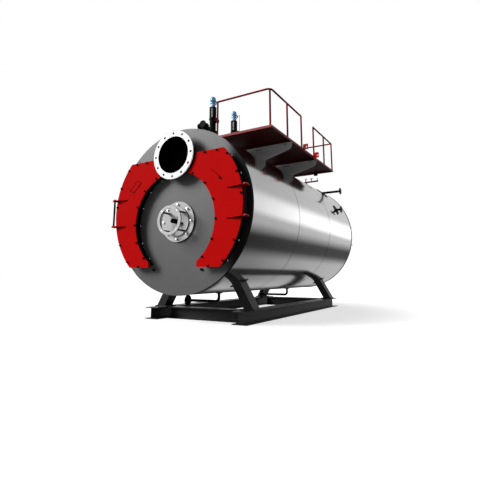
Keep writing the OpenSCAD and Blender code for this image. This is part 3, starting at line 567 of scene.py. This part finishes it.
def add_bolt_ends(bm):
    for spot in plate_bolt_spots:
        add_round(bm, spot + forward(THREAD_OUT), spot + forward(NUT_OUT), PLATE_NUT_R)
    holes = mounts["burner_bolts"]["dims"]
    stud_r = holes["hole_r_mm"] / 1000 - STUD_GAP
    for spot in spots_round(FURNACE_Z, holes["pcd_mm"] / 2000, ring_low.y, holes["count"], math.pi / 4):
        add_round(bm, spot - forward(SKIN), spot - forward(NUT_OUT), stud_r)


make_piece("burner_nut_shade", "boiler", black_paint, add_shaded_bolt_roots)
make_piece("burner_bolt_ends", "boiler", bolt_steel, add_bolt_ends)


# Plugs low on the front plate, and a knob beside the burner stub

PLUG_X = 0.532
PLUG_DOWN = 1.062
PLUG_R = 0.021
PLUG_OUT = 0.030
KNOB_X = 0.118
KNOB_DOWN = 0.038
KNOB_R = 0.024


def add_plugs(bm):
    for x in (-PLUG_X, PLUG_X):
        add_round(bm, at(x, -PLUG_OUT, -PLUG_DOWN), at(x, 0, -PLUG_DOWN), PLUG_R)
    knob = Vector((KNOB_X, disc_low.y, FURNACE_Z - KNOB_DOWN))
    add_round(bm, knob + forward(PLUG_OUT), knob, KNOB_R)


make_piece("plugs", "boiler", black_paint, add_plugs)


# Soot inside the flue outlet, and painted shade: black discs over the ends of its flange's holes

NECK_T = 0.012
SOOT_OUT = 0.004
SOOT_SKIN = 0.0015
CLEAN_LIP = 0.003
HOLE_SKIN = 0.0008
HOLE_WIDER = 0.006


def add_flue_soot_and_hole_shade(bm):
    bore_r = (neck_high.z - neck_low.z) / 2 - NECK_T
    centre = Vector((0, FACE_Y, FLUE_Z))
    add_round(bm, centre + forward(SOOT_OUT), centre + forward(SKIN), bore_r, 64)
    add_sleeve(bm, FLUE_Z, bore_r + SOOT_SKIN, flue_low.y + CLEAN_LIP, FACE_Y - SOOT_OUT)
    holes = mounts["flue_bolts"]["dims"]
    dark_r = holes["hole_r_mm"] / 1000 + HOLE_WIDER
    for hole in spots_round(FLUE_Z, holes["pcd_mm"] / 2000, flue_low.y, holes["count"]):
        add_round(bm, hole + forward(HOLE_SKIN), hole, dark_r, 16)


make_piece("flue_soot_and_hole_shade", "boiler", soot_and_shade_black, add_flue_soot_and_hole_shade)


# Painted shade under the deck: a dark sheet on its plate, its edge channel and its two cross bars

SHADE_SHEET_T = 0.0012
SHADE_SHEET_EDGE = 0.002
bracket_middles = [middle.y for middle in solid_middles("brackets")]


def add_deck_painted_shade(bm):
    left = deck_low.x
    right = rail_high.x
    front = deck_low.y
    rear = deck_high.y
    foot = deck_low.z
    plate = rail_low.z - DECK_T
    add_box(bm, (left + EDGE_T, front + EDGE_T, plate - SHADE_SHEET_T), (right - EDGE_T, rear - EDGE_T, plate))
    flanges = (
        (left + SHADE_SHEET_EDGE, right - SHADE_SHEET_EDGE, front + SHADE_SHEET_EDGE, front + EDGE_W),
        (left + SHADE_SHEET_EDGE, right - SHADE_SHEET_EDGE, rear - EDGE_W, rear - SHADE_SHEET_EDGE),
        (left + SHADE_SHEET_EDGE, left + EDGE_W, front + EDGE_W, rear - EDGE_W),
        (right - EDGE_W, right - SHADE_SHEET_EDGE, front + EDGE_W, rear - EDGE_W),
    )
    for x0, x1, y0, y1 in flanges:
        add_box(bm, (x0, y0, foot - SHADE_SHEET_T), (x1, y1, foot))
    half_bar = BAR_W / 2 + SHADE_SHEET_T
    for y in bracket_middles:
        add_box(bm, (left + EDGE_W, y - half_bar, foot - SHADE_SHEET_T), (right - EDGE_W, y + half_bar, plate))


make_piece("deck_painted_shade", "boiler", underside_shade_red, add_deck_painted_shade)


# Bright paint on the two ladder lugs, round their holes

LUG_PAINT_T = 0.014
LUG_UP = 0.070
LUG_DOWN = 0.045
HOLE_MARGIN = 0.002


def add_lug_paint(bm):
    root_x = rail_high.x + SKIN
    for name in ("front_ladder_lug", "rear_ladder_lug"):
        mount = mounts[name]
        length = mount["dims"]["length_mm"] / 1000
        centre = Vector(mount["pos_m"]) + Vector(mount["axis"]) * length / 2
        front = centre.y - LUG_PAINT_T / 2
        rear = centre.y + LUG_PAINT_T / 2
        clear = mount["dims"]["r_mm"] / 1000 + HOLE_MARGIN
        frames = (
            (root_x, deck_high.x, clear, LUG_UP),
            (root_x, deck_high.x, -LUG_DOWN, -clear),
            (root_x, centre.x - clear, -clear, clear),
            (centre.x + clear, deck_high.x, -clear, clear),
        )
        for x0, x1, z0, z1 in frames:
            add_box(bm, (x0, front, centre.z + z0), (x1, rear, centre.z + z1))


make_piece("lug_paint", "boiler", door_red, add_lug_paint)


# Bolts near the top of each bracket, as (x, down from its top), and a lamp under the deck's rear edge

BRACKET_BOLTS = ((0.660, 0.060), (0.735, 0.060), (1.315, 0.040))
BRACKET_BOLT_R = 0.014
BRACKET_BOLT_OUT = 0.012
LAMP_X = 0.990
LAMP_R = 0.050
LAMP_H = 0.045


def add_bracket_bolts(bm):
    apart = abs(bracket_middles[0] - bracket_middles[1])
    half_bracket = (bracket_high.y - bracket_low.y - apart) / 2
    for y in bracket_middles:
        for x, down in BRACKET_BOLTS:
            spot = Vector((x, y - half_bracket, bracket_high.z - down))
            add_round(bm, spot + forward(BRACKET_BOLT_OUT), spot, BRACKET_BOLT_R, 6)
    lamp = Vector((LAMP_X, deck_high.y - LAMP_H, deck_low.z))
    add_round(bm, lamp - up(LAMP_H), lamp, LAMP_R)


make_piece("bracket_bolts", "boiler", black_paint, add_bracket_bolts)


# Light slots on the safety valves' bonnets, below their heads

valve_heads = [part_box("front_safety_head"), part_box("rear_safety_head")]
SLOT_TURN = math.radians(-66)
SLOT_OUT = 0.060
SLOT_R = 0.019
SLOT_FOOT = 0.235
SLOT_TOP = 0.035


def add_bonnet_slots(bm):
    out = Vector((math.cos(SLOT_TURN), math.sin(SLOT_TURN), 0)) * SLOT_OUT
    for low, high in valve_heads:
        spot = Vector((0, (low.y + high.y) / 2, low.z)) + out
        add_round(bm, spot - up(SLOT_FOOT), spot - up(SLOT_TOP), SLOT_R, 16)


make_piece("bonnet_slots", "boiler", slot_grey, add_bonnet_slots)


# Levers of the safety valves, and a rod that hangs from the rear one

# Each bar as its two ends and its radius, each end as (x, height over the head's foot)
LEVER = ((0.040, 0.030), (0.104, 0.087), 0.009)
LEVER_HEEL = ((0.055, 0.132), (0.100, 0.106), 0.012)
ROD_HOOK = ((0.106, 0.102), (0.150, 0.112), 0.007)
ROD_X = 0.146
ROD_TOP = 0.114
ROD_R = 0.006
ROD_CLEAR = 0.120


def add_valve_bar(bm, head, bar):
    """A bar in the plane across the shell through a valve's head."""
    low, high = head
    y = (low.y + high.y) / 2
    start, end, radius = bar
    add_round(bm, Vector((start[0], y, low.z + start[1])), Vector((end[0], y, low.z + end[1])), radius, 12)


def add_levers(bm):
    for head in valve_heads:
        add_valve_bar(bm, head, LEVER)
        add_valve_bar(bm, head, LEVER_HEEL)


def add_hanging_rod(bm):
    head = valve_heads[1]
    rod_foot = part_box("rear_safety_valve")[0].z + ROD_CLEAR - head[0].z
    add_valve_bar(bm, head, ROD_HOOK)
    add_valve_bar(bm, head, ((ROD_X, rod_foot), (ROD_X, ROD_TOP), ROD_R))


make_piece("valve_levers", "boiler", black_paint, add_levers)
make_piece("valve_rod", "boiler", cap_blue, add_hanging_rod)


# Dark channel over the gauge rack's bar, whose foot is four of its own heights below the rack's top

RACK_BAR_H = 0.024
CHANNEL_LIP = 0.007
CHANNEL_W = 0.032


def add_rack_channel(bm):
    bar_z = rack_high.z - 4 * RACK_BAR_H
    low = (rack_low.x - SKIN, RACK_Y - CHANNEL_W / 2, bar_z - CHANNEL_LIP)
    high = (rack_high.x + SKIN, RACK_Y + CHANNEL_W / 2, bar_z + RACK_BAR_H + CHANNEL_LIP)
    add_box(bm, low, high)


make_piece("rack_channel", "boiler", nut_red, add_rack_channel)


# Small grey cocks on two of the gauge rack's uprights

COCKS_X = (0.386, 0.561)
COCK_UP = 0.010
COCK_R = 0.017
COCK_REACH = Vector((0.034, 0, 0.006))


def add_rack_cocks(bm):
    for x in COCKS_X:
        centre = Vector((x, RACK_Y, rack_high.z + COCK_UP))
        add_round(bm, centre - COCK_REACH, centre + COCK_REACH, COCK_R, 12)


make_piece("rack_cocks", "boiler", slot_grey, add_rack_cocks)


# Web between the spokes of the steam valve's handwheel

WHEEL_RIM_T = 0.018
WEB_T = 0.004


def add_wheel_web(bm):
    low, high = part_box("steam_valve_wheel")
    web_r = (high.z - low.z) / 2 - WHEEL_RIM_T / 2
    centre = Vector(((low.x + high.x) / 2, low.y + WHEEL_RIM_T / 2, (low.z + high.z) / 2))
    add_round(bm, centre + forward(WEB_T / 2), centre - forward(WEB_T / 2), web_r, 48)


make_piece("wheel_web", "steam_wheel", black_paint, add_wheel_web)


# Floor: its shade starts and ends at shares of an oval with these half widths

FLOOR_SIZE = 120
FLOOR_GREY = (0.45, 0.45, 0.45)
SHADE_HALF_X = 3.4
SHADE_HALF_Y = 4.2
SHADE_START = 0.60
SHADE_END = 1.25
SHADE_GLOW = 0.66
WHITE = (1.0, 1.0, 1.0, 1.0)


def make_floor():
    """A pale floor, white to the camera, with a soft shadow that fades away from the boiler."""
    bpy.ops.mesh.primitive_plane_add(size=FLOOR_SIZE, location=(0, 0, 0))
    floor = bpy.context.object
    floor.name = "floor"
    material = new_material("floor_white", FLOOR_GREY, 0.9, specular=0.0, mottle=0.0)
    tree = material.node_tree
    path = tree.nodes.new("ShaderNodeLightPath")
    glow = tree.nodes.new("ShaderNodeEmission")
    glow.inputs["Color"].default_value = WHITE
    place = tree.nodes.new("ShaderNodeNewGeometry")
    scaled = tree.nodes.new("ShaderNodeVectorMath")
    scaled.operation = "MULTIPLY"
    scaled.inputs[1].default_value = (1 / SHADE_HALF_X, 1 / SHADE_HALF_Y, 0.0)
    away = tree.nodes.new("ShaderNodeVectorMath")
    away.operation = "LENGTH"
    fade = tree.nodes.new("ShaderNodeMapRange")
    fade.interpolation_type = "SMOOTHSTEP"
    fade.inputs["From Min"].default_value = SHADE_START
    fade.inputs["From Max"].default_value = SHADE_END
    fade.inputs["To Min"].default_value = SHADE_GLOW
    fade.inputs["To Max"].default_value = 1.0
    share = tree.nodes.new("ShaderNodeMath")
    share.operation = "MULTIPLY"
    both = tree.nodes.new("ShaderNodeAddShader")
    output = tree.nodes["Material Output"]
    link = tree.links.new
    link(place.outputs["Position"], scaled.inputs[0])
    link(scaled.outputs["Vector"], away.inputs[0])
    link(away.outputs["Value"], fade.inputs["Value"])
    link(path.outputs["Is Camera Ray"], share.inputs[0])
    link(fade.outputs["Result"], share.inputs[1])
    link(share.outputs["Value"], glow.inputs["Strength"])
    link(tree.nodes["Principled BSDF"].outputs["BSDF"], both.inputs[0])
    link(glow.outputs["Emission"], both.inputs[1])
    link(both.outputs["Shader"], output.inputs["Surface"])
    floor.data.materials.append(material)
    floor.visible_glossy = False


# What the polished jacket reflects: pale and dark cards that stand round the shell

# Each from one angle to another, 0 to the right and 90 up, with its brightness across and along the shell
STUDIO_CARDS = {
    "low dark card, left": (-180, -148, (0.05, 0.09)),
    "pale floor, left": (-140, -128, (0.42, 0.52)),
    "floor below": (-105, -66, (0.20, 0.55)),
    "low dark card, right": (-47, -26, (0.025, 0.07)),
    "grey wall, right": (-6, 4, (0.45, 0.60)),
    "soft box, right": (14, 34, (0.78, 1.60)),
    "grey ceiling": (48, 132, (0.46, 0.67)),
    "soft box, left": (150, 166, (0.80, 1.55)),
    "grey wall, left": (174, 180, (0.48, 0.63)),
}

# Share of a ray that runs along the shell: up to the first it looks across, from the second along
ACROSS_Y = 0.870
ALONG_Y = 0.957

# How much brighter the cards get as that share falls, as (share, times)
STUDIO_DEPTH = ((0, 1.45), (0.6, 1.35), (0.86, 1.0))

# Strength of the even light from all round
PLAIN_LIGHT = 0.20


def card_stops(view):
    """Stops of the ramp round the shell, for the view across it (0) or down its length (1)."""
    stops = []
    for first, last, levels in STUDIO_CARDS.values():
        stops.append(((first + 180) / 360, levels[view]))
        stops.append(((last + 180) / 360, levels[view]))
    return stops


def grey_ramp(tree, stops):
    """A colour ramp through grey levels, from its stops as (place, level)."""
    ramp = tree.nodes.new("ShaderNodeValToRGB")
    elements = ramp.color_ramp.elements
    while len(elements) < len(stops):
        elements.new(0.5)
    for element, (place, level) in zip(elements, stops):
        element.position = place
        element.color = (level, level, level, 1.0)
    return ramp


def make_world():
    """White to the camera, plain grey light, and the studio's cards in reflections."""
    world = bpy.data.worlds.new("studio")
    bpy.context.scene.world = world
    world.use_nodes = True
    tree = world.node_tree
    tree.nodes.clear()
    output = tree.nodes.new("ShaderNodeOutputWorld")
    path = tree.nodes.new("ShaderNodeLightPath")
    coords = tree.nodes.new("ShaderNodeTexCoord")
    parts = tree.nodes.new("ShaderNodeSeparateXYZ")
    angle = tree.nodes.new("ShaderNodeMath")
    angle.operation = "ARCTAN2"
    scaled = tree.nodes.new("ShaderNodeMapRange")
    scaled.inputs["From Min"].default_value = -math.pi
    scaled.inputs["From Max"].default_value = math.pi
    across = grey_ramp(tree, card_stops(0))
    along = grey_ramp(tree, card_stops(1))
    depth = grey_ramp(tree, STUDIO_DEPTH)
    turn = tree.nodes.new("ShaderNodeMapRange")
    turn.inputs["From Min"].default_value = ACROSS_Y
    turn.inputs["From Max"].default_value = ALONG_Y
    bands = tree.nodes.new("ShaderNodeMixRGB")
    reflected = tree.nodes.new("ShaderNodeBackground")
    plain = tree.nodes.new("ShaderNodeBackground")
    plain.inputs["Color"].default_value = WHITE
    plain.inputs["Strength"].default_value = PLAIN_LIGHT
    white = tree.nodes.new("ShaderNodeBackground")
    white.inputs["Color"].default_value = WHITE
    by_gloss = tree.nodes.new("ShaderNodeMixShader")
    by_camera = tree.nodes.new("ShaderNodeMixShader")
    link = tree.links.new
    link(coords.outputs["Generated"], parts.inputs["Vector"])
    link(parts.outputs["Z"], angle.inputs[0])
    link(parts.outputs["X"], angle.inputs[1])
    link(angle.outputs["Value"], scaled.inputs["Value"])
    link(scaled.outputs["Result"], across.inputs["Fac"])
    link(scaled.outputs["Result"], along.inputs["Fac"])
    link(parts.outputs["Y"], turn.inputs["Value"])
    link(turn.outputs["Result"], bands.inputs["Fac"])
    link(across.outputs["Color"], bands.inputs["Color1"])
    link(along.outputs["Color"], bands.inputs["Color2"])
    link(bands.outputs["Color"], reflected.inputs["Color"])
    link(parts.outputs["Y"], depth.inputs["Fac"])
    link(depth.outputs["Color"], reflected.inputs["Strength"])
    link(path.outputs["Is Glossy Ray"], by_gloss.inputs["Fac"])
    link(plain.outputs["Background"], by_gloss.inputs[1])
    link(reflected.outputs["Background"], by_gloss.inputs[2])
    link(path.outputs["Is Camera Ray"], by_camera.inputs["Fac"])
    link(by_gloss.outputs["Shader"], by_camera.inputs[1])
    link(white.outputs["Background"], by_camera.inputs[2])
    link(by_camera.outputs["Shader"], output.inputs["Surface"])


# One large soft lamp, high on the left behind the camera

KEY_STRENGTH = 3.75
KEY_SPREAD = math.radians(28)
KEY_DIRECTION = Vector((0.85, 0.8, -0.65))


def make_lights():
    key = bpy.data.lights.new("key", "SUN")
    key.energy = KEY_STRENGTH
    key.angle = KEY_SPREAD
    lamp = bpy.data.objects.new("key", key)
    lamp.rotation_euler = KEY_DIRECTION.to_track_quat("-Z", "Y").to_euler()
    bpy.context.scene.collection.objects.link(lamp)


# The photograph's viewpoint, on a lens found from the picture's perspective

CAMERA_X = 4.459
CAMERA_BACK = 5.429
CAMERA_Z = 0.818
CAMERA_UP = math.radians(90 + 10.39)
CAMERA_TURN = math.radians(30.42)
SENSOR_W = 36.0
LENS = 29.38
FRAME_SHIFT = -0.0749
FAR_END = 200


def make_camera():
    camera = bpy.data.cameras.new("camera")
    camera.sensor_width = SENSOR_W
    camera.lens = LENS
    camera.shift_y = FRAME_SHIFT
    camera.clip_end = FAR_END
    viewer = bpy.data.objects.new("camera", camera)
    viewer.location = (CAMERA_X, FACE_Y - CAMERA_BACK, CAMERA_Z)
    viewer.rotation_euler = (CAMERA_UP, 0.0, CAMERA_TURN)
    bpy.context.scene.collection.objects.link(viewer)
    bpy.context.scene.camera = viewer


make_floor()
make_world()
make_lights()
make_camera()
bpy.context.scene.view_settings.view_transform = "Standard"
